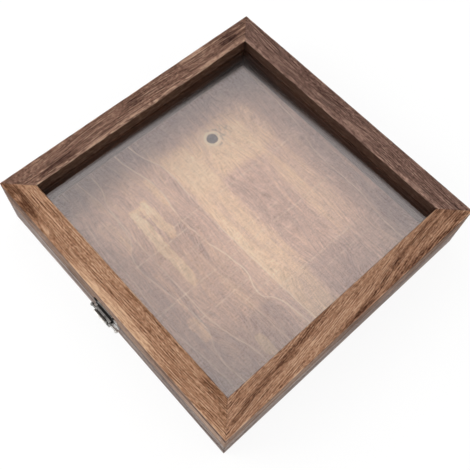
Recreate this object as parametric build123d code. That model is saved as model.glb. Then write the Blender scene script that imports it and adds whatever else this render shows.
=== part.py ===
from build123d import *
import os

# Insect display case: a shallow wooden case with a hinged, glazed lid.
# The origin is the centre of the underside, +Z is up, and the latch faces -Y.

# Case frame
case_width = 305.0        # left to right
case_depth = 305.0        # front to back
base_height = 34.0        # underside to the parting line
rail_thickness = 12.0     # walls of the case and of the lid
edge_round = 0.8          # long outer edges of the rails
parting_round = 0.5       # outer edges along the parting line

# Bottom panel, let into a rebate round the underside
panel_thickness = 6.0
panel_land = 6.0          # wall left outside the rebate
panel_gap = 0.25          # play round the panel's edge

# Lid frame and its glazing
lid_height = 31.5         # parting line to the top
lip_width = 24.0          # face of the frame seen from above
lip_thickness = 12.0      # top of the lid to the glass
glass_thickness = 2.0
glass_gap = 0.5           # play round the glass
stop_width = 6.0
stop_height = 6.0

# Brads, used in the mitres, the panel and the glass stops
brad_radius = 0.6
brad_head_radius = 1.0
brad_head_height = 0.6
corner_brad_length = 25.0
panel_brad_length = 18.0
stop_brad_length = 12.0
corner_brad_heights = (12.0, 26.0)   # above the bottom of a frame
side_brad_spacing = 95.0             # between the three brads of a side
hole_gap = 0.05                      # radial play of every fastener

# Butt hinges on the outside of the back
hinge_inset = 60.0        # hinge centre from the end of the back
hinge_width = 26.0
leaf_height = 14.0
leaf_thickness = 1.0
knuckle_radius = 1.9
hinge_pin_radius = 0.9
knuckle_end_gap = 0.15
swing_gap = 0.3           # between curved faces that turn past each other
pin_head_height = 0.8
pin_head_radius = 1.6
hinge_screw_spacing = 14.0
hinge_screw_setback = 9.0 # screw row from the parting line

# Wood screws of the hinges and the latch
screw_radius = 1.1
screw_head_radius = 1.9
screw_head_height = 0.8
screw_length = 9.0
slot_width = 0.5
slot_depth = 0.35

# Latch on the front
latch_shift = -2.5        # latch centre from the centre of the front
plate_thickness = 1.0
wing_span = 33.0
wing_margin = 1.2         # metal left round a screw head or the pin
plate_width = 22.0
base_plate_height = 18.4
keeper_height = 9.6
plate_round = 2.4
plate_setback = 0.6       # plates from the parting line
nose_width = 19.0
nose_height = 3.0
nose_reach = 4.0          # nose beyond its plate
nose_round = 0.8
barrel_radius = 2.6
lever_width = 15.0
lever_thickness = 1.2
lever_rise = 4.6          # straight arm above the parting line
lip_reach = 2.0           # thumb lip, outward
lip_rise = 1.4            # thumb lip, upward
nose_gap = 0.4
ear_width = 2.0
ear_gap = 0.2
latch_pin_radius = 1.0
ball_radius = 1.8
finial_overhang = 0.5     # ball centre beyond the wing
pivot_drop = 6.0          # latch pin below the parting line
latch_screw_spacing = 25.6
base_screw_drop = 9.8     # base plate screws below the parting line
keeper_screw_rise = 4.2   # keeper screws above the parting line

running_gap = 0.05        # radial play of a part that turns on a pin

parting = base_height
top = base_height + lid_height
glass_top = top - lip_thickness
glass_bottom = glass_top - glass_thickness
front_face = -case_depth / 2
back_face = case_depth / 2


def profile(points, rounds):
    """A closed section from (inward, up) points, with some corners rounded."""
    face = make_face(Polyline(*points, close=True))
    for corner, radius in rounds.items():
        vertex = face.vertices().sort_by_distance(points[corner])[0]
        face = fillet(vertex, radius)
    return face


def mitred_rail(section, length, depth):
    """The section run along X, its outer face on y = 0, with both ends mitred."""
    half = length / 2
    bar = extrude(Plane.YZ * section, half, both=True)
    plan = Polyline((-half, 0), (half, 0), (half - depth, depth), (depth - half, depth), close=True)
    return bar & extrude(make_face(plan), top)


def mitred_frame(name, section, inset, depth):
    """Four rails round the case, each with its node name."""
    width = case_width - 2 * inset
    length = case_depth - 2 * inset
    across = mitred_rail(section, width, depth)
    along = mitred_rail(section, length, depth)
    return {
        f"{name}_front": Pos(0, -length / 2) * across,
        f"{name}_back": Pos(0, length / 2) * Rot(0, 0, 180) * across,
        f"{name}_left": Pos(-width / 2, 0) * Rot(0, 0, -90) * along,
        f"{name}_right": Pos(width / 2, 0) * Rot(0, 0, 90) * along,
    }


def aimed(piece, point, direction):
    """A piece made along +Z, put at a point and turned to a direction."""
    across = (1, 0, 0) if abs(direction[0]) < 0.5 else (0, 0, 1)
    return Plane(origin=point, x_dir=across, z_dir=direction).location * piece


def rod(radius, start, end):
    """A cylinder along +Z between two heights."""
    return Pos(0, 0, (start + end) / 2) * Cylinder(radius, end - start)


def brad(length, gap=0.0):
    """A headed brad whose head lies flush at z = 0 and whose shank runs down."""
    shank = rod(brad_radius + gap, -length - gap, 0)
    return shank + rod(brad_head_radius + gap, -brad_head_height, 0)


def screw(gap=0.0):
    """A slotted screw whose cone head lies flush at z = 0 and whose shank runs down."""
    cone = Cone(screw_radius + gap, screw_head_radius + gap, screw_head_height)
    cone = Pos(0, 0, -screw_head_height / 2) * cone
    shank = rod(screw_radius + gap, -screw_length - gap, 0)
    if gap:
        return shank + cone
    slot = Box(2 * screw_head_radius, slot_width, 2 * slot_depth)
    return shank + cone - slot


def drilled(piece, holes):
    """The piece with every hole cut that reaches it."""
    box = piece.bounding_box()
    reached = [hole for hole in holes if box.overlaps(hole.bounding_box())]
    return piece - reached if reached else piece


def corner_brad_places(bottom):
    """Points and directions of the brads that hold the mitres of one frame."""
    middle = case_width / 2 - rail_thickness / 2
    return [
        ((x, face, bottom + height), (0, side, 0))
        for x in (-middle, middle)
        for side, face in ((-1, front_face), (1, back_face))
        for height in corner_brad_heights
    ]


def side_places(inset, height, down=False):
    """Three points on each side of a ring; the heads point inward, or down."""
    places = []
    for step in (-side_brad_spacing, 0, side_brad_spacing):
        for side in (-1, 1):
            ring_x = side * (case_width / 2 - inset)
            ring_y = side * (case_depth / 2 - inset)
            places.append(((ring_x, step, height), (0, 0, -1) if down else (-side, 0, 0)))
            places.append(((step, ring_y, height), (0, 0, -1) if down else (0, -side, 0)))
    return places


def fasteners(make, places, **sizes):
    """One fastener, or its hole, at every place."""
    return [aimed(make(**sizes), point, direction) for point, direction in places]


# Wooden frames, panel, glass and stops
case_section = profile(
    [
        (0, 0),
        (panel_land, 0),
        (panel_land, panel_thickness),
        (rail_thickness, panel_thickness),
        (rail_thickness, parting),
        (0, parting),
    ],
    {0: edge_round, 5: parting_round},
)
lid_section = profile(
    [
        (0, parting),
        (rail_thickness, parting),
        (rail_thickness, glass_top),
        (lip_width, glass_top),
        (lip_width, top),
        (0, top),
    ],
    {0: parting_round, 4: edge_round, 5: edge_round},
)
stop_section = profile(
    [
        (0, glass_bottom - stop_height),
        (stop_width, glass_bottom - stop_height),
        (stop_width, glass_bottom),
        (0, glass_bottom),
    ],
    {},
)
nodes = {}
case_rails = mitred_frame("case_rail", case_section, 0, rail_thickness)
lid_rails = mitred_frame("lid_rail", lid_section, 0, lip_width)
glass_stops = mitred_frame("glass_stop", stop_section, rail_thickness, stop_width)

panel_inset = panel_land + panel_gap
panel_size = (case_width - 2 * panel_inset, case_depth - 2 * panel_inset)
panel = Pos(0, 0, panel_thickness / 2) * Box(*panel_size, panel_thickness)

glass_inset = rail_thickness + glass_gap
glass_size = (case_width - 2 * glass_inset, case_depth - 2 * glass_inset)
glass = Pos(0, 0, glass_bottom + glass_thickness / 2) * Box(*glass_size, glass_thickness)

# Brads
case_corners = corner_brad_places(0)
lid_corners = corner_brad_places(parting)
panel_line = (panel_land + rail_thickness) / 2
panel_places = side_places(panel_line, 0, down=True)
stop_places = side_places(rail_thickness + stop_width, glass_bottom - stop_height / 2)


def hinge_leaf(up):
    """One leaf with its knuckles: pin on the X axis, wood behind it at -Y, up or down."""
    wood = -knuckle_radius - swing_gap
    notch = knuckle_radius + swing_gap
    leaf_y = wood + leaf_thickness / 2
    leaf = Pos(0, leaf_y, up * (notch + leaf_height) / 2)
    leaf = leaf * Box(hinge_width, leaf_thickness, leaf_height - notch)
    third = hinge_width / 3
    spans = [(-hinge_width / 2, -third / 2), (third / 2, hinge_width / 2)]
    if up > 0:
        spans = [(knuckle_end_gap - third / 2, third / 2 - knuckle_end_gap)]
    for start, end in spans:
        middle = (start + end) / 2
        leaf += Pos(middle, leaf_y, up * notch / 2) * Box(end - start, leaf_thickness, notch)
        leaf += Pos(middle, 0, 0) * Rot(0, 90, 0) * Cylinder(knuckle_radius, end - start)
    return leaf - Rot(0, 90, 0) * Cylinder(hinge_pin_radius + running_gap, 2 * hinge_width)


def hinge_screw_places(x, up):
    """Two screws of one leaf, heads flush with the face of the leaf."""
    face = back_face + leaf_thickness
    height = parting + up * hinge_screw_setback
    half = hinge_screw_spacing / 2
    return [((x + shift, face, height), (0, 1, 0)) for shift in (-half, half)]


hinge_axis_y = back_face + knuckle_radius + swing_gap
hinge_centres = {"left": hinge_inset - case_width / 2, "right": case_width / 2 - hinge_inset}
case_hinge_places = [place for x in hinge_centres.values() for place in hinge_screw_places(x, -1)]
lid_hinge_places = [place for x in hinge_centres.values() for place in hinge_screw_places(x, 1)]
pin_shank = rod(hinge_pin_radius, -hinge_width / 2, hinge_width / 2)
pin_heads = [
    Pos(0, 0, side * (hinge_width + pin_head_height) / 2) * Cylinder(pin_head_radius, pin_head_height)
    for side in (-1, 1)
]
hinge_pin = pin_shank + pin_heads


# Latch, in a frame of its own: x along the front, y outward from the wood, z up
def latch_place(piece):
    """The latch's frame laid on the front of the case."""
    return Pos(latch_shift, front_face, 0) * mirror(piece, Plane.XZ)


def winged_plate(low, high, wing_low, wing_high):
    """A rounded plate with a wider rounded band across it."""
    body = RectangleRounded(plate_width, high - low, plate_round)
    band = RectangleRounded(wing_span, wing_high - wing_low, plate_round)
    outline = Pos(0, (low + high) / 2) * body + Pos(0, (wing_low + wing_high) / 2) * band
    return extrude(Plane.XZ * outline, -plate_thickness)


pivot_out = plate_thickness + swing_gap + barrel_radius
pivot_up = parting - pivot_drop
base_top = parting - plate_setback
keeper_low = parting + plate_setback
nose_out = plate_thickness + nose_reach
base_screw_z = parting - base_screw_drop
keeper_screw_z = parting + keeper_screw_rise
screw_land = screw_head_radius + wing_margin


def turned(radius, length, x=0.0):
    """A round bar along X on the latch's pivot."""
    return Pos(x, pivot_out, pivot_up) * Rot(0, 90, 0) * Cylinder(radius, length)


base_plate = winged_plate(
    base_top - base_plate_height,
    base_top,
    base_screw_z - screw_land,
    pivot_up + latch_pin_radius + wing_margin,
)
ear_middle = lever_width / 2 + ear_gap + ear_width / 2
for side in (-1, 1):
    web = Box(ear_width, pivot_out, 2 * barrel_radius)
    base_plate += Pos(side * ear_middle, pivot_out / 2, pivot_up) * web
    base_plate += turned(barrel_radius, ear_width, side * ear_middle)
base_plate -= turned(latch_pin_radius + running_gap, wing_span)

keeper = winged_plate(
    keeper_low,
    keeper_low + keeper_height,
    keeper_low,
    keeper_screw_z + screw_land,
)
nose = Pos(0, nose_out / 2, keeper_low + nose_height / 2) * Box(nose_width, nose_out, nose_height)
nose_edge = nose.edges().filter_by(Axis.X).sort_by(Axis.Y)[-2:].sort_by(Axis.Z)[-1]
keeper += fillet(nose_edge, nose_round)

finial_x = wing_span / 2 + finial_overhang
latch_pin = turned(latch_pin_radius, 2 * finial_x)
for side in (-1, 1):
    latch_pin += Pos(side * finial_x, pivot_out, pivot_up) * Sphere(ball_radius)

arm_in = nose_out + nose_gap
arm_out = arm_in + lever_thickness
arm_top = parting + lever_rise
arm_points = [
    (pivot_out, pivot_up),
    (arm_in, pivot_up),
    (arm_in, arm_top),
    (arm_in + lip_reach, arm_top + lip_rise),
    (arm_out + lip_reach, arm_top + lip_rise - lever_thickness / 2),
    (arm_out, arm_top - lever_thickness / 2),
    (arm_out, pivot_up),
    (pivot_out, pivot_up - barrel_radius),
]
arm_face = Plane.YZ * make_face(Polyline(*arm_points, close=True))
lever = extrude(arm_face, lever_width / 2, both=True) + turned(barrel_radius, lever_width)
lever -= turned(latch_pin_radius + running_gap, lever_width + 1)

latch_face = front_face - plate_thickness
latch_half = latch_screw_spacing / 2
latch_screws_x = (latch_shift - latch_half, latch_shift + latch_half)
base_screw_places = [((x, latch_face, base_screw_z), (0, -1, 0)) for x in latch_screws_x]
keeper_screw_places = [((x, latch_face, keeper_screw_z), (0, -1, 0)) for x in latch_screws_x]

# Holes of every fastener
case_holes = fasteners(brad, case_corners, length=corner_brad_length, gap=hole_gap)
case_holes += fasteners(brad, panel_places, length=panel_brad_length, gap=hole_gap)
case_holes += fasteners(screw, case_hinge_places + base_screw_places, gap=hole_gap)
lid_holes = fasteners(brad, lid_corners, length=corner_brad_length, gap=hole_gap)
lid_holes += fasteners(brad, stop_places, length=stop_brad_length, gap=hole_gap)
lid_holes += fasteners(screw, lid_hinge_places + keeper_screw_places, gap=hole_gap)

for name, rail in case_rails.items():
    nodes[name] = drilled(rail, case_holes)
for name, rail in (lid_rails | glass_stops).items():
    nodes[name] = drilled(rail, lid_holes)
nodes["bottom_panel"] = drilled(panel, case_holes)
nodes["glass_pane"] = glass
nodes["case_corner_brads"] = fasteners(brad, case_corners, length=corner_brad_length)
nodes["lid_corner_brads"] = fasteners(brad, lid_corners, length=corner_brad_length)
nodes["panel_brads"] = fasteners(brad, panel_places, length=panel_brad_length)
nodes["glass_stop_brads"] = fasteners(brad, stop_places, length=stop_brad_length)

for side, x in hinge_centres.items():
    place = Pos(x, hinge_axis_y, parting)
    nodes[f"hinge_case_leaf_{side}"] = drilled(place * hinge_leaf(-1), case_holes)
    nodes[f"hinge_lid_leaf_{side}"] = drilled(place * hinge_leaf(1), lid_holes)
    nodes[f"hinge_pin_{side}"] = place * Rot(0, 90, 0) * hinge_pin
nodes["hinge_case_screws"] = fasteners(screw, case_hinge_places)
nodes["hinge_lid_screws"] = fasteners(screw, lid_hinge_places)

nodes["latch_base_plate"] = drilled(latch_place(base_plate), case_holes)
nodes["latch_keeper"] = drilled(latch_place(keeper), lid_holes)
nodes["latch_pin"] = latch_place(latch_pin)
nodes["latch_lever"] = latch_place(lever)
nodes["latch_base_screws"] = fasteners(screw, base_screw_places)
nodes["latch_keeper_screws"] = fasteners(screw, keeper_screw_places)

os.makedirs("parts", exist_ok=True)
for name, piece in nodes.items():
    solids = piece if isinstance(piece, list) else [piece]
    bodies = [body for solid in solids for body in solid.solids()]
    export_step(bodies[0] if len(bodies) == 1 else Compound(children=bodies), f"parts/{name}.step")
    print(name, len(bodies))
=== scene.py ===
import itertools
import math

import bpy
import numpy as np
from mathutils import Matrix, Vector


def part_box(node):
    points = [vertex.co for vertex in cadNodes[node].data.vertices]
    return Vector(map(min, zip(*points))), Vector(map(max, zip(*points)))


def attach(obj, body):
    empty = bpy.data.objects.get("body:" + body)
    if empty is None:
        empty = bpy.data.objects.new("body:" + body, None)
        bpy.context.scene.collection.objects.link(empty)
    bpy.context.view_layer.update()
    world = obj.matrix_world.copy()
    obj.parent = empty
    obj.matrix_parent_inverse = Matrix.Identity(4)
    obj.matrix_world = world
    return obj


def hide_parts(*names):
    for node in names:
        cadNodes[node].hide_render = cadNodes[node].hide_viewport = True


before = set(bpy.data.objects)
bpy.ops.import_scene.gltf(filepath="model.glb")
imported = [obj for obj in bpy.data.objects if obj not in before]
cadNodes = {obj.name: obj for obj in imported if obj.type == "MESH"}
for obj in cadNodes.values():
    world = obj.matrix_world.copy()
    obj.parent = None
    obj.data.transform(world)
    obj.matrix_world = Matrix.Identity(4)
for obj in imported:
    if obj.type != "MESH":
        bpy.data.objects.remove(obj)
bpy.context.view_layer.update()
scene = bpy.context.scene
mm = 0.001
print("frame loaded,", len(cadNodes), "nodes")

# Places that everything else is worked out from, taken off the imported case
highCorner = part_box("case_rail_right")[1]
halfWidth = highCorner.x
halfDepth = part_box("case_rail_back")[1].y
partingZ = highCorner.z
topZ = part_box("lid_rail_front")[1].z
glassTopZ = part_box("glass_pane")[1].z
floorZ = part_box("bottom_panel")[1].z
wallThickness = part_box("case_rail_front")[1].y + halfDepth
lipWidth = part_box("lid_rail_front")[1].y + halfDepth
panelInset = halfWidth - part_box("bottom_panel")[1].x


# Camera, at the photograph's viewing angle
camera = {
    "azimuth": 42.668,            # degrees round from the front
    "elevation": 64.479,
    "roll": 5.393,
    "distance": 0.68,
    "target": (0.00545, -0.00462, 0.0),
    "sensor": 36,                 # mm
    "lens": 52.58,                # mm
}


def placeCamera(look):
    # the eye is target + distance * (sin a * cos e, -cos a * cos e, sin e), and its frame is rolled by r
    a, e, r = (math.radians(look[key]) for key in ("azimuth", "elevation", "roll"))
    back = Vector((math.sin(a) * math.cos(e), -math.cos(a) * math.cos(e), math.sin(e)))
    right = Vector((math.cos(a), math.sin(a), 0))
    up = back.cross(right)
    tiltedRight = right * math.cos(r) + up * math.sin(r)
    tiltedUp = up * math.cos(r) - right * math.sin(r)
    data = bpy.data.cameras.new("camera")
    data.lens, data.sensor_width = look["lens"], look["sensor"]
    data.clip_start, data.clip_end = 0.01, 50
    eye = bpy.data.objects.new("camera", data)
    spot = Vector(look["target"]) + back * look["distance"]
    turn = Matrix((tiltedRight, tiltedUp, back)).transposed()
    eye.matrix_world = Matrix.Translation(spot) @ turn.to_4x4()
    scene.collection.objects.link(eye)
    scene.camera = eye


placeCamera(camera)
print("camera placed")


# Shader maths: arithmetic on a wire adds Math nodes
class Wire:
    def __init__(self, board, socket):
        self.board, self.socket = board, socket

    def __add__(self, other):
        return self.board.math("ADD", self, other)

    def __radd__(self, other):
        return self.board.math("ADD", other, self)

    def __sub__(self, other):
        return self.board.math("SUBTRACT", self, other)

    def __rsub__(self, other):
        return self.board.math("SUBTRACT", other, self)

    def __mul__(self, other):
        return self.board.math("MULTIPLY", self, other)

    def __rmul__(self, other):
        return self.board.math("MULTIPLY", other, self)

    def __truediv__(self, other):
        return self.board.math("DIVIDE", self, other)

    def __abs__(self):
        return self.board.math("ABSOLUTE", self)


class Board:                      # the nodes of one material, or of the world
    def __init__(self, owner):
        owner.use_nodes = True
        self.owner, self.tree = owner, owner.node_tree
        self.tree.nodes.clear()

    def add(self, kind, settings=None, inputs=None, output=0):
        node = self.tree.nodes.new(kind)
        for key, value in (settings or {}).items():
            if key == "stops":
                for spare in value[2:]:
                    node.color_ramp.elements.new(spare[0])
                for element, (place, color) in zip(node.color_ramp.elements, value):
                    element.position = place
                    element.color = (*color, 1)
            elif key == "points":
                curve = node.mapping.curves[0]
                for spare in value[2:]:
                    curve.points.new(*spare)
                for point, place in zip(curve.points, value):
                    point.location = place
                node.mapping.update()
            else:
                setattr(node, key, value)
        for key, value in (inputs or {}).items():
            if isinstance(value, Wire):
                self.tree.links.new(value.socket, node.inputs[key])
            else:
                node.inputs[key].default_value = value
        return Wire(self, node.outputs[output]) if node.outputs else node

    def math(self, operation, *values):
        return self.add("ShaderNodeMath", {"operation": operation}, dict(enumerate(values)))

    def place(self, turn=0, shift=(0, 0, 0)):    # Object coordinates in mm, turned about Z, then moved
        point = self.add("ShaderNodeTexCoord", output="Object")
        return self.stretch(point, (1 / mm, 1 / mm, 1 / mm), (0, 0, turn), shift)

    def stretch(self, point, scale, turn=(0, 0, 0), shift=(0, 0, 0)):
        return self.add("ShaderNodeMapping", inputs={
            "Vector": point, "Location": shift, "Rotation": turn, "Scale": scale})

    def split(self, point):
        return [self.add("ShaderNodeSeparateXYZ", inputs={0: point}, output=axis) for axis in range(3)]

    def join(self, x, y, z):
        return self.add("ShaderNodeCombineXYZ", inputs={0: x, 1: y, 2: z})

    def noise(self, point, cell, detail=2.0, rough=0.5):    # about -1 to 1, blots of the cell's size in mm
        inputs = {"Vector": self.stretch(point, tuple(1 / c for c in cell)), "Scale": 1.0}
        inputs.update({"Detail": detail, "Roughness": rough})
        return self.add("ShaderNodeTexNoise", inputs=inputs) * 4 - 2

    def noises(self, point, table, *keys):
        return [self.noise(point, *table[key]) for key in keys]

    def total(self, shares, **wires):    # each wire times its share, added up
        first, *others = [wire * shares[key] for key, wire in wires.items()]
        return sum(others, first)

    def smooth(self, value, low, high, start=0.0, end=1.0):   # an S curve from start to end
        settings = {"interpolation_type": "SMOOTHSTEP"}
        return self.add("ShaderNodeMapRange", settings, {0: value, 1: low, 2: high, 3: start, 4: end})

    def ramp(self, value, places, colors):
        return self.add("ShaderNodeValToRGB", {"stops": list(zip(places, colors))}, {0: value})

    def mix(self, share, first, second, blend="MIX"):
        first, second = (c if isinstance(c, Wire) else (*c, 1) for c in (first, second))
        settings = {"data_type": "RGBA", "blend_type": blend}
        return self.add("ShaderNodeMix", settings, {0: share, 6: first, 7: second}, 2)

    def bump(self, height, distance, strength):
        inputs = {"Height": height, "Distance": distance, "Strength": strength}
        return self.add("ShaderNodeBump", inputs=inputs)

    def attribute(self, name):
        return self.add("ShaderNodeAttribute", {"attribute_name": name}, output="Fac")

    def rays(self):                   # 1 on a ray that comes straight, mirrored or through glass
        kinds = ("Camera", "Glossy", "Transmission")
        return [self.add("ShaderNodeLightPath", output=f"Is {kind} Ray") for kind in kinds]

    def principled(self, **sockets):
        return self.add("ShaderNodeBsdfPrincipled", inputs={
            key.replace("_", " "): value for key, value in sockets.items()})

    def finish(self, shader, kind="ShaderNodeOutputMaterial"):
        self.add(kind, inputs={0: shader})
        return self.owner


varnish = {"sheen": 0.015, "darkest": 0.002}     # what it mirrors of a white room, least colour under it


def stain(level):                 # sRGB 0 to 255 to linear, less what the varnish adds
    linear = [((v / 255 + 0.055) / 1.055) ** 2.4 for v in level]
    return tuple(max(v - varnish["sheen"], varnish["darkest"]) for v in linear)


# Burnt and stained wood of the rails. On a rail, along runs with the grain and inward from the outer face,
# both in mm
railSides = {"front": 0, "back": 180, "left": 90, "right": -90}    # degrees that lay the grain along X
railReach = {"front": halfDepth, "back": halfDepth, "left": halfWidth, "right": halfWidth}
woodTones = (0.02, 0.27, 0.5, 0.7, 0.98)
woodStains = {                    # sRGB at these five tones
    "gold": [(74, 50, 40), (128, 92, 70), (164, 122, 96), (186, 146, 118), (218, 182, 150)],
    "tan": [(62, 42, 36), (112, 80, 64), (150, 111, 88), (172, 132, 106), (206, 170, 142)],
    "umber": [(44, 32, 28), (88, 65, 57), (122, 93, 81), (146, 112, 96), (196, 163, 140)],
    "ash": [(46, 34, 30), (86, 66, 59), (117, 91, 82), (135, 106, 95), (184, 152, 134)],
    # drift: greyed wood, and a painted sheen of the white floor where it lies on the outer faces
    "drift": [(58, 44, 38), (112, 92, 83), (146, 124, 112), (162, 140, 128), (198, 178, 164)],
    # slate, on the case's outer faces, is greyer in part as a painted sheen of the white floor
    "slate": [(62, 50, 47), (120, 105, 99), (152, 137, 130), (166, 151, 144), (200, 186, 178)],
}
railColors = {                    # sRGB, but for the painted shade
    "char": (78, 66, 62),
    "insideStainAndShade": (54, 41, 35),       # inner walls: a dark stain, with painted shade
    "paintedShade": (0.42, 0.4, 0.4),    # multiplies the outer face as painted shade
}
railGrain = {                     # cell along, across and through in mm, detail, roughness
    "drift": ((150, 40, 60), 1),
    "blots": ((46, 9, 14), 2),
    "tides": ((420, 3, 30), 2),
    "streaks": ((60, 0.95, 6), 1, 0.6),
    "fibres": ((20, 0.58, 3), 1),
    "flecks": ((2.6, 0.5, 1.1), 1, 0.6),
    "ringBend": ((60, 5, 8), 1),
    "ringStrength": ((26, 4, 6), 1),
    "lines": ((130, 0.95, 9), 1),
    "glints": ((26, 0.8, 6), 1),
    "dashes": ((6, 0.9, 3), 1),
    "weather": ((160, 3, 9), 2, 0.6),
    "rubbing": ((15, 4, 4), 3),
    "char": ((38, 7, 10), 3),
    "pores": ((7, 0.45, 1.4), 1),
}
railTone = {                      # how much each of them moves the tone
    "tides": 0.04, "streaks": 0.05, "blots": 0.03, "fibres": 0.3, "flecks": 0.42, "rings": 0.22,
    "lines": -0.07, "glints": 0.13, "weather": 0.7, "rubbed": 0.4,
}
railShown = {                     # level from which each of them shows, and at which it shows in full
    "rings": (-1.0, 0.8), "lines": (0.3, 0.7), "glints": (0.4, 0.8), "dashes": (0.15, 0.45),
    "pores": (0.45, 0.9), "char": (0.1, 1.1), "wearAndHighlight": (-0.6, 0.8), "rubbed": (0.6, 1.5),
}
railCover = {"pores": 0.5, "wearAndHighlight": 0.35, "joint": 0.45, "insideStainAndShade": 0.84}    # share of the stain they cover
railRough = {"plain": 0.62, "tone": -0.12, "pores": 0.2, "rubbed": -0.08, "outer": 0.25}
railRelief = {"fibres": 0.4, "glints": 0.3, "pores": -0.5, "lines": -0.5}    # height of each in the bump
railPlaces = {                    # mm
    "arris": (0.2, -1.2),         # across, where the top face turns into the outer face
    "dashes": (19, 21.5),         # inward, where dashes begin
    "wearAndHighlight": (4.5, 2.6, 0.6),      # height from the parting of the pale line, a painted highlight, its reach and its core
    "joint": (2.2, 0.6),          # reach and core of the dark line at the parting
    "underArrisLine": (4.6, 5.0, 1.5),      # depth under the top of the dark line, its reach and its core
    "underArrisEnds": (-30, 60),        # along, where its strength goes from the first to the second
}
plainRail = {
    "lift": 0.0,                  # of the whole tone
    "wander": 3.0,                # mm that the grain strays
    "coarse": 0.8,                # strength of streaks and glints
    "spacing": 1.7,               # mm from ring to ring
    "grey": 0.3,                  # share of char
    "paintedShade": 0.1,                 # share of painted shade on the outer face
    "greyingAndSheen": 0.0,                 # share of drift on the outer face: greyed wood and a painted sheen of the white floor
    "underArrisLine": (0.0, 0.0),           # strength at its two ends
    "dashes": 0.0,                # lift of the dashes along the inner arris
    "sweeps": [],                 # from, to, mm that the grain shifts across between them
    "bands": [],                  # with the grain: place across, half width, from, to, lift
    "patches": [],                # along, inward, half length, half width, lift
}
lidWood = {
    "front": {
        **plainRail, "stains": "gold", "seed": 3, "coarse": 0.9, "grey": 0.08, "paintedShade": 0.15, "greyingAndSheen": 0.7,
        "underArrisLine": (1.3, 0.35), "sweeps": [(60, 150, -5)],
        "patches": [
            (12, 3, 75, 6, 0.30), (-128, 4, 34, 8, -0.42), (-129, 4, 7, 3, 0.35), (-88, 3, 9, 3, 0.3),
            (-98, 5, 16, 5, -0.1), (30, 22, 85, 1, -0.18), (122, 19, 26, 4.5, -0.2), (-60, 12, 60, 6, 0.06)],
    },
    "back": {
        **plainRail, "stains": "ash", "seed": 11, "wander": 4.0, "grey": 0.6, "paintedShade": 0.2, "greyingAndSheen": 0.3,
        "underArrisLine": (0.5, 0.5), "dashes": 0.4, "sweeps": [(-120, -60, 4)],
        "patches": [(-100, 21, 24, 2.5, 0.3), (-20, 17, 24, 3, 0.15), (40, 8, 60, 6, -0.08)],
    },
    "left": {
        **plainRail, "stains": "umber", "seed": 19, "coarse": 1.3, "spacing": 1.8, "paintedShade": 0.2,
        "greyingAndSheen": 0.3, "underArrisLine": (0.5, 0.5), "dashes": 0.9, "sweeps": [(-90, 20, 3), (40, 130, -3)],
        "patches": [
            (-75, 3, 22, 3.5, 0.3), (-92, 21, 24, 2.5, 0.3), (60, 22, 14, 1.5, 0.4), (-30, 21, 12, 1.5, 0.3),
            (-118, 10, 16, 9, -0.2), (5, 8, 25, 5, -0.12), (100, 18, 26, 6, -0.26)],
    },
    "right": {
        **plainRail, "stains": "tan", "seed": 27, "lift": 0.06, "wander": 2.5, "coarse": 0.6, "grey": 0.15,
        "paintedShade": 0.3, "greyingAndSheen": 0.6, "underArrisLine": (0.3, 0.5), "sweeps": [(-300, 300, -60)],
        "bands": [(-28, 2.6, -25, 150, -0.26), (-34, 1.6, 20, 150, -0.16), (-2, 3.2, -145, 5, -0.26)],
        "patches": [
            (138, 10, 14, 12, -0.22), (-30, 9, 70, 6, 0.12), (92, 1, 55, 5, -0.32), (0, 0.5, 50, 3, -0.2)],
    },
}
caseWood = {
    "front": {**plainRail, "stains": "slate", "seed": 35, "lift": -0.02},
    "back": {**plainRail, "stains": "ash", "seed": 43, "lift": 0.05, "coarse": 0.9, "grey": 0.4},
    "left": {**plainRail, "stains": "umber", "seed": 51, "coarse": 1.1, "spacing": 2.2, "grey": 0.4},
    "right": {**plainRail, "stains": "slate", "seed": 59, "lift": 0.06, "coarse": 0.7, "paintedShade": 0.0},
}


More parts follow.
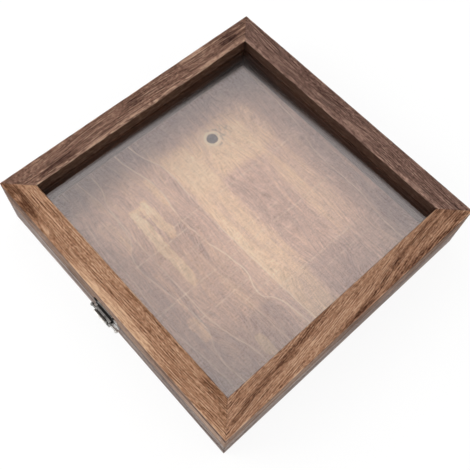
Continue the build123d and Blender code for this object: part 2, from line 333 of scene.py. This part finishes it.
def railWood(name, side, look):
    board = Board(bpy.data.materials.new(name))
    local = board.place(math.radians(railSides[side]), (0, railReach[side] / mm, 0))
    along, inward, up = board.split(local)
    across = inward + up - topZ / mm             # unrolled over the outer arris
    through = inward - up + look["seed"] * 10
    start = along + look["seed"] * 100
    straight = board.join(start, across, through)
    drift = board.noise(straight, *railGrain["drift"]) * look["wander"]
    for low, high, rise in look["sweeps"]:
        drift = drift + board.smooth(along, low, high, 0, rise)
    bent = board.join(start, across + drift, through)
    outer = board.smooth(across, *railPlaces["arris"])    # 1 on the upright outer face

    # tone, from what the grain does, what is drawn on it and what has worn it
    blots, rubbing, charring = board.noises(straight, railGrain, "blots", "rubbing", "char")
    tides, streaks, fibres, flecks, weather = board.noises(
        bent, railGrain, "tides", "streaks", "fibres", "flecks", "weather")
    ringBend, ringStrength, lines, glints, dashes, pores = board.noises(
        bent, railGrain, "ringBend", "ringStrength", "lines", "glints", "dashes", "pores")
    phase = (across + drift) * (2 * math.pi / look["spacing"]) + ringBend * 2
    rings = board.math("SINE", phase) * board.smooth(ringStrength, *railShown["rings"])
    lines = board.smooth(lines, *railShown["lines"])
    glints = board.smooth(glints, *railShown["glints"])
    dashes = board.smooth(dashes, *railShown["dashes"]) * board.smooth(inward, *railPlaces["dashes"])
    pores = board.smooth(pores, *railShown["pores"])
    rubbed = board.smooth(board.attribute("wear") * (rubbing + 0.9), *railShown["rubbed"])
    tone = board.total(
        railTone, tides=tides, blots=blots, fibres=fibres, flecks=flecks, rings=rings, lines=lines)
    tone = tone + board.total(railTone, streaks=streaks, glints=glints) * look["coarse"] + look["lift"] + 0.5
    for x, y, length, width, lift in look["patches"]:
        a, b = (along - x) / length, (inward - y + blots * 1.2) / width
        tone = tone + board.smooth(1 - a * a - b * b, 0, 0.9) * (1 - outer * 0.6) * lift
    for place, width, low, high, lift in look["bands"]:
        part = board.smooth(along, low, low + 30) * board.smooth(along, high, high - 20) * (1 - outer)
        ragged = abs(across + drift - place + blots * 0.8)
        tone = tone + board.smooth(ragged, width * 1.6, width * 0.2) * part * lift
    tone = tone + board.total(railTone, weather=weather * outer, rubbed=rubbed) + dashes * look["dashes"]

    # colour, with char and pores over the stain, then the outer face with painted sheen and shade, its
    # lines, some a painted highlight, and the darkened inner walls
    levels = [stain(level) for level in woodStains[look["stains"]]]
    grey = board.ramp(tone, woodTones, [stain(level) for level in woodStains["drift"]])
    color = board.ramp(tone, woodTones, levels)
    charred = board.smooth(charring, *railShown["char"]) * look["grey"]
    color = board.mix(charred, color, stain(railColors["char"]))
    color = board.mix(pores * railCover["pores"], color, levels[0])
    # the outer face greys towards drift, partly greyed wood and partly a painted sheen
    color = board.mix(outer * look["greyingAndSheen"], color, grey)
    # painted shade: the outer face is multiplied darker
    color = board.mix(outer * look["paintedShade"], color, railColors["paintedShade"], "MULTIPLY")
    height = abs(up - partingZ / mm)
    # pale lines either side of the parting are a painted highlight
    middle, reach, core = railPlaces["wearAndHighlight"]
    wearAndHighlight = board.smooth(abs(height - middle), reach, core) * outer
    wearAndHighlight = wearAndHighlight * board.smooth(fibres + blots, *railShown["wearAndHighlight"])
    color = board.mix(wearAndHighlight * railCover["wearAndHighlight"], color, levels[4])
    # a dark line under the top arris, stronger at one end of the rail than the other
    depth, reach, core = railPlaces["underArrisLine"]
    underArrisLine = board.smooth(abs(across + depth), reach, core)
    underArrisLine = underArrisLine * board.smooth(along, *railPlaces["underArrisEnds"], *look["underArrisLine"])
    joint = board.smooth(height, *railPlaces["joint"])
    color = board.mix((joint + underArrisLine) * railCover["joint"], color, levels[0])
    # inner walls: dark stain with painted shade
    color = board.mix(board.attribute("inner") * railCover["insideStainAndShade"], color, stain(railColors["insideStainAndShade"]))

    rough = board.total(railRough, tone=tone, pores=pores, rubbed=rubbed, outer=outer) + railRough["plain"]
    relief = board.total(railRelief, fibres=fibres, glints=glints, pores=pores, lines=lines)
    shader = board.principled(
        Base_Color=color, Roughness=rough, Specular_IOR_Level=0.1, Normal=board.bump(relief, 0.04 * mm, 0.6))
    return board.finish(shader)


# Rails as surfaces
railShape = {
    "acrossStep": 0.8,            # mm between lines over the section
    "alongStep": 2.0,             # mm between stations
    "arcSteps": 5,                # on each rounded edge
    "outerRound": 0.75,           # mm, where the edge is least worn
    "innerRound": 0.55,
    "baseRound": 0.15,
    "wearDepth": 0.5,             # mm more round where it is most worn
    "wearCells": (17, 5),         # mm along the edge
    "poreDepth": 0.11,            # mm
    "poreCell": (9, 0.9, 0.9),    # mm
    "waveDepth": 0.10,            # mm
    "waveCells": [((70, 5, 5), 0.6), ((24, 2, 2), 0.4)],    # mm, share
    "skin": 0.03,                 # mm, least distance under the true face
    "arrisCalm": 0.8,             # share of the sinking that a rounded edge is spared
    "endEase": 0.22,              # mm, chamfer at the mitre
    "mitreGap": 0.01,             # mm, least distance from the mitre
    "seed": 40,
}


def valueNoise(points, cell, seed):
    # random numbers on a lattice with cells of the given size, blended by s*s*(3 - 2*s) in each direction
    count = 64
    lattice = np.random.default_rng(seed).random((count, count, count))
    q = points / np.asarray(cell)
    base = np.floor(q).astype(int)
    part = q - base
    part = part * part * (3 - 2 * part)
    total = 0
    for corner in itertools.product((0, 1), repeat=3):
        spot = (base + corner) % count
        weight = np.prod(np.where(corner, part, 1 - part), axis=-1)
        total = total + lattice[spot[..., 0], spot[..., 1], spot[..., 2]] * weight
    return total


def sectionRing(corners, rounds, step, arcSteps):
    # a polygon walked corner by corner, with evenly spaced points on each side. An outer corner's arc is
    # centre + r*(cos t * normal before + sin t * normal after), and rounds holds its radius at each station
    places, normals, wearAndHighlight = [], [], []
    count = len(corners)
    sides = [corners[(i + 1) % count] - corners[i] for i in range(count)]
    ways = [s / np.linalg.norm(s) for s in sides]
    outs = [np.array([w[1], -w[0]]) for w in ways]
    turns = [ways[i - 1][0] * ways[i][1] - ways[i - 1][1] * ways[i][0] for i in range(count)]
    for i in range(count):
        before, after = ways[i - 1], ways[i]
        following = (i + 1) % count
        radius, nextRadius = rounds[i][:, None, None], rounds[following][:, None, None]
        if turns[i] > 0:
            t = np.linspace(0, math.pi / 2, arcSteps)[None, :, None]
            normal = np.cos(t) * outs[i - 1] + np.sin(t) * outs[i]
            place = corners[i] + radius * (after - before) + radius * normal
            wearAndHighlight.append(np.ones(arcSteps))
        else:
            normal = ((outs[i - 1] + outs[i]) / math.sqrt(2))[None, None, :]
            place = np.broadcast_to(corners[i], (len(radius), 1, 2))
            wearAndHighlight.append(np.zeros(1))
        places.append(place)
        normals.append(np.broadcast_to(normal, place.shape))
        start = corners[i] + (radius * after if turns[i] > 0 else 0)
        end = corners[following] - (nextRadius * after if turns[following] > 0 else 0)
        between = max(1, int(np.linalg.norm(sides[i]) / step))
        t = (np.arange(1, between + 1) / (between + 1))[None, :, None]
        places.append(np.broadcast_to(start + (end - start) * t, (len(radius), between, 2)))
        normals.append(np.broadcast_to(outs[i], places[-1].shape))
        wearAndHighlight.append(np.zeros(between))
    return np.concatenate(places, 1), np.concatenate(normals, 1), np.concatenate(wearAndHighlight)


def gridMesh(name, rings, attributes):
    # rings is (stations, around, 3): quads join neighbours, and one face closes each end
    rows, around = rings.shape[:2]
    index = np.arange(rows * around).reshape(rows, around)
    a, b = index[:-1], index[1:]
    quads = np.stack([a, b, np.roll(b, -1, 1), np.roll(a, -1, 1)], -1).reshape(-1, 4)
    faces = quads.tolist() + [index[0].tolist(), index[-1][::-1].tolist()]
    mesh = bpy.data.meshes.new(name)
    mesh.from_pydata(rings.reshape(-1, 3).tolist(), [], faces)
    for key, values in attributes.items():
        layer = mesh.attributes.new(key, "FLOAT", "POINT")
        spread = np.broadcast_to(values, (rows, around)).ravel()
        layer.data.foreach_set("value", spread.astype(np.float32))
    mesh.polygons.foreach_set("use_smooth", [True] * len(mesh.polygons))
    mesh.update()
    piece = bpy.data.objects.new(name, mesh)
    scene.collection.objects.link(piece)
    return piece


def buildRail(name, side, corners, roundNames, shape, seed, wood):
    # a profile carried along the rail: x = u * (half length - inward), so that both ends lie on the mitre.
    # Each point sinks along its normal by skin + pores + waves of a noise stretched along the grain
    half = (halfWidth if side in ("front", "back") else halfDepth) / mm
    stations = int(2 * half / shape["alongStep"])
    u = np.concatenate([[-1], np.linspace(-1, 1, stations), [1]])
    track = np.stack([u * half, np.zeros_like(u), np.zeros_like(u)], -1)
    longCell, shortCell = shape["wearCells"]
    rounds = []
    for i, kind in enumerate(roundNames):
        lumps = valueNoise(track + i * 37.0, (longCell, 1, 1), seed)
        lumps = lumps * valueNoise(track + i * 11.0, (shortCell, 1, 1), seed + 1)
        rounds.append(shape[kind] + shape["wearDepth"] * lumps if kind else np.zeros_like(u))
    section, normal, wearAndHighlight = sectionRing(
        [np.array(c) / mm for c in corners], rounds, shape["acrossStep"], shape["arcSteps"])
    inward, up = section[..., 0], section[..., 1]
    along = u[:, None] * (half - inward)
    local = np.stack([along, inward, up], -1) + seed * 13.0
    pores = np.clip(valueNoise(local, shape["poreCell"], seed + 2) * 1.9 - 1, 0, 1)
    waves = 0
    for i, (cell, share) in enumerate(shape["waveCells"]):
        waves = waves + valueNoise(local, cell, seed + 3 + i) * share
    sink = shape["skin"] + shape["poreDepth"] * pores + shape["waveDepth"] * waves
    sink = sink * (1 - shape["arrisCalm"] * wearAndHighlight)
    sink[[0, -1]] += shape["endEase"]
    inward, up = inward - normal[..., 0] * sink, up - normal[..., 1] * sink
    along = np.sign(u)[:, None] * np.minimum(abs(along), half - inward - shape["mitreGap"])
    along[1] += shape["endEase"]
    along[-2] -= shape["endEase"]
    angle = -math.radians(railSides[side])
    across = inward - railReach[side] / mm
    x = along * math.cos(angle) - across * math.sin(angle)
    y = along * math.sin(angle) + across * math.cos(angle)
    inner = np.clip(normal[..., 0], 0, 1)
    piece = gridMesh(name, np.stack([x, y, up], -1) * mm, {"wear": wearAndHighlight[None, :], "inner": inner})
    piece.data.materials.append(wood)
    return piece


panelPlay = 0.26 * mm
rebate = panelInset - panelPlay
caseCorners = [
    (0, 0), (rebate, 0), (rebate, floorZ), (wallThickness, floorZ), (wallThickness, partingZ), (0, partingZ)]
caseRounds = ["baseRound", "innerRound", "", "innerRound", "innerRound", "innerRound"]
lidCorners = [
    (0, partingZ), (wallThickness, partingZ), (wallThickness, glassTopZ), (lipWidth, glassTopZ),
    (lipWidth, topZ), (0, topZ)]
lidRounds = ["innerRound", "innerRound", "", "innerRound", "innerRound", "outerRound"]
for number, side in enumerate(railSides):
    for body, looks, corners, rounds in (
        ("case", caseWood, caseCorners, caseRounds),
        ("lid", lidWood, lidCorners, lidRounds),
    ):
        wood = railWood(f"{body}Wood_{side}", side, looks[side])
        seed = railShape["seed"] + number
        rail = buildRail(f"{body}Rail_{side}", side, corners, rounds, railShape, seed, wood)
        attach(rail, body)
        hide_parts(f"{body}_rail_{side}")
print("rails built")


# Plywood floor, grain along X, in mm
plywood = {
    "tones": (0.0, 0.25, 0.45, 0.7, 1.0),
    "stains": [(136, 98, 90), (184, 139, 118), (222, 175, 149), (250, 205, 161), (255, 219, 178)],
    "tone": {"tides": 0.08, "streaks": 0.08, "blots": 0.08, "fibres": 0.04, "mottle": 0.03},
    "middle": 0.42,               # of the tone
    "fine": {"fibres": 0.24, "flecks": 0.22, "weave": 0.2},
    "fineShares": (0.5, 0.34),    # multiplied in, added
    "pale": (255, 230, 200),      # veins and cross lines
    "paleShare": 1.2,
    "shadowGrey": (112, 88, 92),
    "wallShadows": [                    # painted shadow of the walls on the floor's margins: axis, where grey starts, where it is full, its share
        ("x", -94, -134, 0.64), ("y", 92, 132, 0.42), ("x", 68, 84, 0.16)],
    "floorShade": (0.66, 0.55, 0.42),  # multiplies, as painted shade
    "floorShadeAreas": [                  # painted shade over the front of the floor: x where it starts and is full, the same for y, share
        (-75, -25, -12, -45, 0.65), (50, 115, -12, -90, 0.7), (-100, -125, -30, -60, 0.8)],
    "patches": [                  # x, y, half length, half width, lift, softness of the edge
        (-78, 50, 38, 68, 0.17, 1.0), (-70, 55, 28, 40, 0.10, 1.0), (30, 8, 145, 20, 0.2, 0.9),
        (10, 88, 85, 20, 0.12, 1.0), (14, 49, 70, 27, -0.04, 0.8), (100, 52, 24, 40, -0.08, 0.8),
        (-84, -38, 36, 28, 0.08, 1.0), (-56, -52.5, 28, 5.2, 0.44, 0.7), (-72, -60, 9, 12, 0.28, 0.7),
        (-27, -67.5, 54, 6, 0.54, 0.7), (-34, -66.5, 34, 1.4, -0.22, 0.8), (-60, -54.5, 9, 1.6, -0.3, 0.8),
        (-70, -62, 5, 2, -0.26, 0.8), (108, -60, 13, 4.5, 0.6, 0.5), (-66, -97, 26, 8, 0.14, 0.7),
        (57, -96, 15, 6, 0.24, 0.7), (10, -92, 26, 3, 0.14, 0.7), (-14, -41, 30, 3, -0.12, 0.5),
        (-80, -34, 22, 4, 0.14, 0.7), (30, 128, 100, 10, -0.08, 0.8), (0, -106, 150, 20, -0.07, 0.9),
        (-10, -70, 100, 9, 0.06, 0.9), (100, -40, 26, 20, -0.12, 0.8)],
    "veins": [                    # points, lift, glow beside it, reach of the glow (+ towards the back)
        ([(-140, -22), (-118, -18), (-100, -11), (-60, -11), (-20, -11.5), (40, -10.5), (85, -9), (140, -8)],
         0.42, 0.16, 22),
        ([(-140, -40), (-118, -37), (-100, -32), (-80, -30), (-50, -34), (-10, -33), (20, -27), (45, -25),
          (60, -30), (72, -30), (79, -23), (95, -18), (140, -16)], 0.5, 0.04, -8),
        ([(-140, -54), (-120, -48), (-80, -47), (-60, -49), (0, -47), (60, -44), (140, -40)], 0.16, 0, 6),
        ([(-140, -73), (-120, -73), (-100, -80), (-80, -82), (20, -83), (60, -82), (80, -78), (105, -71),
          (140, -70)], 0.3, 0.05, 8),
        ([(-140, -88), (-60, -86), (-50, -90), (-40, -97), (0, -97), (20, -93), (50, -90), (70, -93),
          (80, -98), (140, -92)], 0.26, 0.10, -9),
        ([(-140, -105), (-110, -107), (-70, -112), (-20, -112), (30, -116), (80, -110), (140, -108)],
         0.2, 0, 6),
        ([(-140, 138), (-60, 134), (-40, 131), (-15, 123), (30, 122), (60, 122), (80, 118), (140, 118)],
         0.32, 0.03, 10)],
    "veinSpan": 150,              # the points' curves cover -150 to 150
    "cross": [                    # x, from y, to y, lift
        (22, -125, 120, 0.32), (50, -110, -15, 0.32), (76, -30, 108, 0.3), (-38, -60, 120, 0.3),
        (-29, -110, -28, 0.35), (-112, -120, -100, 0.5), (36, -60, 60, 0.25), (-8, -60, 20, 0.25),
        (8, -30, 100, 0.25), (64, -60, 10, 0.25), (90, 20, 110, 0.2)],
}
plywoodGrain = {                  # cell in mm, detail, roughness
    "bend": ((110, 24, 20), 1),
    "blots": ((46, 17, 20), 3),
    "tides": ((230, 13, 20), 2),
    "streaks": ((75, 2.4, 4), 2),
    "ridges": ((60, 3, 5), 1),
    "fibres": ((16, 0.8, 2), 2),
    "mottle": ((6, 2, 4), 2),
    "flecks": ((1.4, 1.4, 1.4), 2, 0.6),
    "weave": ((0.8, 8, 3), 1, 0.6),
    "edges": ((9, 2.5, 6), 4, 0.6),
    "fade": ((30, 30, 30), 1),
    "wobble": ((14, 20, 9), 2),
    "dots": ((9, 3, 5), 3, 0.6),
    "knot": ((7, 7, 7), 2),
    "arcs": ((4, 3, 4), 1),
    "ticks": ((6, 1.4, 3), 2),
}
knot = {                          # mm, and sRGB
    "x": -91, "y": 51, "radius": 5.9, "squash": 1.04,
    "heart": (42, 40, 46),
    "halo": (250, 214, 176), "haloReach": (20, 7),
    "ring": (255, 232, 196), "ringRadius": 8,
    "arc": (112, 74, 58), "arcRadius": 11.2,
    "tick": (96, 76, 74), "tickPlace": 16, "tickReach": 11,
}


def paintKnot(board, point, x, y, color, look):
    # rings round the knot's ragged distance, then arcs and ticks on its far side, and the dark heart last
    a, b = x - look["x"], (y - look["y"]) * look["squash"]
    raggedness, arcNoise, tickNoise = board.noises(point, plywoodGrain, "knot", "arcs", "ticks")
    away = board.math("SQRT", a * a + b * b) + raggedness * 0.5
    color = board.mix(board.smooth(away, *look["haloReach"]) * 0.6, color, stain(look["halo"]))
    ring = board.smooth(abs(away - look["ringRadius"]), 2.0, 0.4)
    color = board.mix(ring * 0.8, color, stain(look["ring"]))
    arcs = board.smooth(abs(away - look["arcRadius"]), 1.7, 0.3) * board.smooth(b + abs(a) * 0.8, 6, 11)
    color = board.mix(arcs * board.smooth(arcNoise, -0.5, 0.3) * 0.45, color, stain(look["arc"]))
    c, d = a / look["tickReach"], (b - look["tickPlace"]) / look["tickReach"]
    ticks = board.smooth(1 - c * c - d * d, 0, 0.6) * board.smooth(tickNoise, 0.0, 0.35)
    color = board.mix(ticks * 0.4, color, stain(look["tick"]))
    radius = look["radius"]
    color = board.mix(board.smooth(away, radius + 0.6, radius - 0.4), color, stain(look["heart"]))
    return color, board.smooth(away, radius + 0.5, radius - 0.5)


def floorWood(look, knotLook):
    board = Board(bpy.data.materials.new("floorPlywood"))
    point = board.place()
    x, y, z = board.split(point)
    bent = board.join(x, y + board.noise(point, *plywoodGrain["bend"]) * 9, z)
    tides, streaks, ridges, fibres = board.noises(bent, plywoodGrain, "tides", "streaks", "ridges", "fibres")
    blots, mottle, flecks, weave = board.noises(point, plywoodGrain, "blots", "mottle", "flecks", "weave")
    edges, fading, wobble, dotting = board.noises(point, plywoodGrain, "edges", "fade", "wobble", "dots")
    tone = board.total(look["tone"], tides=tides, streaks=streaks, blots=blots, fibres=fibres, mottle=mottle)
    tone = tone + look["middle"]
    for px, py, length, width, lift, soft in look["patches"]:
        ragged = blots * 2 + edges * min(2.6, width * 0.5)
        a, b = (x - px + blots * 4) / length, (y - py + ragged) / width
        tone = tone + board.smooth(1 - (a * a) * (a * a) - (b * b) * (b * b), 0, soft) * lift

    # veins and cross lines are pale, and a vein lifts the tone on one side of it
    span = look["veinSpan"]
    fade, dots = board.smooth(fading, -1.1, 0.3), board.smooth(dotting, -0.9, 0.7)
    wobble = wobble * 0.7
    pale = 0.0
    for points, lift, glow, reach in look["veins"]:
        spots = [((px + span) / (2 * span), (py + span) / (2 * span)) for px, py in points]
        level = board.add("ShaderNodeFloatCurve", {"points": spots}, {1: (x + span) / (2 * span)})
        gap = y - (level * (2 * span) - span) - wobble
        pale = board.smooth(abs(gap), 1.0, 0.3) * fade * lift + pale
        beside = gap * math.copysign(1, reach)
        tone = tone + board.smooth(beside, abs(reach), 0) * board.smooth(beside, -0.7, 0.5) * glow
    for px, low, high, lift in look["cross"]:
        part = board.smooth(y, low, low + 15) * board.smooth(y, high, high - 15)
        pale = pale + board.smooth(abs(x - px - wobble), 1.3, 0.2) * dots * part * lift

    color = board.ramp(tone, look["tones"], [stain(level) for level in look["stains"]])
    # painted shadow of the left, back and right walls along the floor's margins
    for axis, low, high, share in look["wallShadows"]:
        ground = x if axis == "x" else y
        grey = board.smooth(ground + edges * 2, low, high) * share
        color = board.mix(grey, color, stain(look["shadowGrey"]))
    # painted shade over the front of the floor
    for lowX, highX, lowY, highY, share in look["floorShadeAreas"]:
        floorShade = board.smooth(x + edges * 3, lowX, highX) * board.smooth(y + edges * 2, lowY, highY) * share
        color = board.mix(floorShade, color, look["floorShade"], "MULTIPLY")
    fine = board.total(look["fine"], fibres=fibres, flecks=flecks, weave=weave)
    times, over = look["fineShares"]
    color = board.mix(1.0, color, 1 + fine * times, "MULTIPLY")
    color = board.mix(1.0, color, fine * over, "ADD")
    color = board.mix(pale * look["paleShare"], color, stain(look["pale"]))
    color, heart = paintKnot(board, point, x, y, color, knotLook)
    shader = board.principled(
        Base_Color=color, Roughness=0.5 + fibres * 0.05,
        Normal=board.bump(ridges * 0.4 - heart, 0.06 * mm, 0.6))
    return board.finish(shader)


def finishNode(name, material):
    cadNodes[name].data.materials.clear()
    cadNodes[name].data.materials.append(material)


finishNode("bottom_panel", floorWood(plywood, knot))


# Glass: light goes straight through, and each face mirrors more as it is met more flatly
pane = {
    "tint": (0.985, 0.99, 0.985),
    "mirror": (1.0, 0.91, 0.9),
    "headOn": 0.13,               # share that is mirrored head on
    "steepness": 5.0,             # power of the rise towards the rim
    "roughness": 0.035,
}


def clearGlass(look):
    board = Board(bpy.data.materials.new("paneGlass"))
    facing = board.add("ShaderNodeLayerWeight", inputs={"Blend": 0.5}, output="Facing")
    share = board.math("POWER", facing, look["steepness"]) * (1 - look["headOn"]) + look["headOn"]
    clear = board.add("ShaderNodeBsdfTransparent", inputs={0: (*look["tint"], 1)})
    gloss = board.add("ShaderNodeBsdfAnisotropic", {"distribution": "GGX"}, {
        "Color": (*look["mirror"], 1), "Roughness": look["roughness"]})
    return board.finish(board.add("ShaderNodeMixShader", inputs={0: share, 1: clear, 2: gloss}))


finishNode("glass_pane", clearGlass(pane))


# Metal fittings and the strips that hold the glass
metalLooks = {
    "latch": {
        "dark": (0.02, 0.018, 0.016), "bright": (0.66, 0.64, 0.61),
        "grimeAndShade": 0.2, "metal": 0.6, "depth": 2.9},
    "hinge": {
        "dark": (0.05, 0.045, 0.035), "bright": (0.36, 0.33, 0.27),
        "grimeAndShade": 0.3, "metal": 0.9, "depth": 0},
    "brad": {
        "dark": (0.05, 0.045, 0.04), "bright": (0.30, 0.28, 0.26),
        "grimeAndShade": 0.2, "metal": 0.9, "depth": 0},
}
metalGrain = {                    # cell in mm, detail
    "clouds": ((3.2, 3.2, 3.2), 3),
    "scratches": ((6, 0.3, 0.3), 2),
}
latchPlaces = {                   # mm
    "recessRight": (11, 8),       # x over which the recess begins
    "recessTop": (43.6, 42.8),    # z
    "recessFoot": (28, 31),       # z
    "brightFront": (-6.2, -7.2),  # y from the front of the case, beyond which the metal is left bright
    "brightRight": (6, 9),        # x, right of which the metal is left bright
}


def agedMetal(name, look):
    # grime lies in soft clouds. Painted shade lies up to the given depth in mm where the metal stands
    # against the front, and the metal near the wood is darker but for its outer parts and right end
    board = Board(bpy.data.materials.new(name))
    point = board.place()
    x, y, z = board.split(point)
    clouds, scratches = board.noises(point, metalGrain, "clouds", "scratches")
    grimeAndShade = board.smooth(clouds, -0.6, 1.2) * look["grimeAndShade"] * 2
    if look["depth"]:
        # painted shade in the recess between plate and lever
        out = y + halfDepth / mm
        recessShade = board.smooth(out, -look["depth"], -look["depth"] * 0.8)
        for value, key in ((x, "recessRight"), (z, "recessTop"), (z, "recessFoot")):
            recessShade = recessShade * board.smooth(value, *latchPlaces[key])
        # darker near the wood, but for the outer parts and the right end
        brightParts = board.smooth(out, *latchPlaces["brightFront"])
        brightParts = brightParts + board.smooth(x, *latchPlaces["brightRight"])
        grimeAndShade = grimeAndShade + recessShade + (1 - board.math("MINIMUM", brightParts, 1.0)) * 0.5
    grimeAndShade = board.math("MINIMUM", grimeAndShade, 1.0)
    color = board.mix(grimeAndShade, look["bright"], look["dark"])
    shader = board.principled(
        Base_Color=color, Metallic=look["metal"], Roughness=0.3 + grimeAndShade * 0.35 + scratches * 0.05,
        Normal=board.bump(clouds + scratches * 0.4, 0.03 * mm, 0.4))
    return board.finish(shader)


metals = {key: agedMetal(key + "Metal", look) for key, look in metalLooks.items()}
stripLook = {**plainRail, "stains": "ash", "seed": 67, "lift": -0.15, "grey": 0.5, "paintedShade": 0.5}
for name in cadNodes:
    if name.startswith("latch"):
        finishNode(name, metals["latch"])
    elif name.startswith("hinge"):
        finishNode(name, metals["hinge"])
    elif name.endswith("brads"):
        finishNode(name, metals["brad"])
    elif name.startswith("glass_stop"):
        side = name.removeprefix("glass_stop_")
        finishNode(name, railWood("stripWood_" + side, side, stripLook))
print("finishes laid")


# Floor, world and lamps
stage = {
    "floorReach": 4.0,
    "floorColor": (0.86, 0.86, 0.86),
    "floorWhite": 0.82,           # share of plain white in what the camera sees of the floor
    "floorGlow": 1.05,            # strength of that white
    "world": 0.84,
    "sheet": 1.05,                # white sheet overhead, as varnish, glass and metal mirror it
    "room": 0.05,                 # dark room round the sheet
    "sheetEdges": [(-0.048, 1.0, 0.620), (-1.0, 0.051, 0.595)],    # p * x/z + q * y/z below r
    "keySpot": (-0.8, -0.98, 1.0),
    "keySize": 0.85,
    "keyGlow": 3.0,               # radiance
    "fillSpot": (0.95, -0.9, 1.2),
    "fillSize": 0.9,
    "fillGlow": 0.3,
}
white = (1, 1, 1, 1)


def paleFloor(look):
    board = Board(bpy.data.materials.new("paleFloor"))
    matt = board.add("ShaderNodeBsdfDiffuse", inputs={0: (*look["floorColor"], 1)})
    straight, mirrored, refracted = board.rays()
    glow = board.add("ShaderNodeEmission", inputs={0: white, 1: look["floorGlow"]})
    share = (straight + mirrored + refracted) * look["floorWhite"]
    return board.finish(board.add("ShaderNodeMixShader", inputs={0: share, 1: matt, 2: glow}))


far = stage["floorReach"]
mesh = bpy.data.meshes.new("floor")
mesh.from_pydata([(-far, -far, 0), (far, -far, 0), (far, far, 0), (-far, far, 0)], [], [(0, 1, 2, 3)])
mesh.materials.append(paleFloor(stage))
floor = bpy.data.objects.new("floor", mesh)
scene.collection.objects.link(floor)


def lightWorld(look):
    # light falls evenly from all round. A mirrored ray sees the sheet inside its edges and the room outside
    sky = Board(bpy.data.worlds.new("studio"))
    straight, mirrored, refracted = sky.rays()
    light = sky.add("ShaderNodeBackground", inputs={0: white, 1: look["world"]})
    x, y, z = sky.split(sky.add("ShaderNodeTexCoord", output="Generated"))
    over = sky.smooth(z, 0.02, 0.1)
    for p, q, r in look["sheetEdges"]:
        over = over * sky.smooth(x * p + y * q - z * r, 0.004, -0.004)
    strength = mirrored * (over * (look["sheet"] - look["room"]) + look["room"]) + straight + refracted
    shown = sky.add("ShaderNodeBackground", inputs={0: white, 1: strength})
    share = straight + mirrored + refracted
    both = sky.add("ShaderNodeMixShader", inputs={0: share, 1: light, 2: shown})
    return sky.finish(both, "ShaderNodeOutputWorld")


def softLamp(name, spot, size, glow):
    # a square lamp turned to the origin, with energy = radiance * pi * area
    data = bpy.data.lights.new(name, "AREA")
    data.shape, data.size, data.energy = "SQUARE", size, glow * math.pi * size * size
    lamp = bpy.data.objects.new(name, data)
    turn = (-Vector(spot)).to_track_quat("-Z", "Y").to_matrix().to_4x4()
    lamp.matrix_world = Matrix.Translation(spot) @ turn
    scene.collection.objects.link(lamp)


scene.world = lightWorld(stage)
softLamp("key", stage["keySpot"], stage["keySize"], stage["keyGlow"])
softLamp("fill", stage["fillSpot"], stage["fillSize"], stage["fillGlow"])
scene.view_settings.view_transform = "Standard"
print("stage lit")
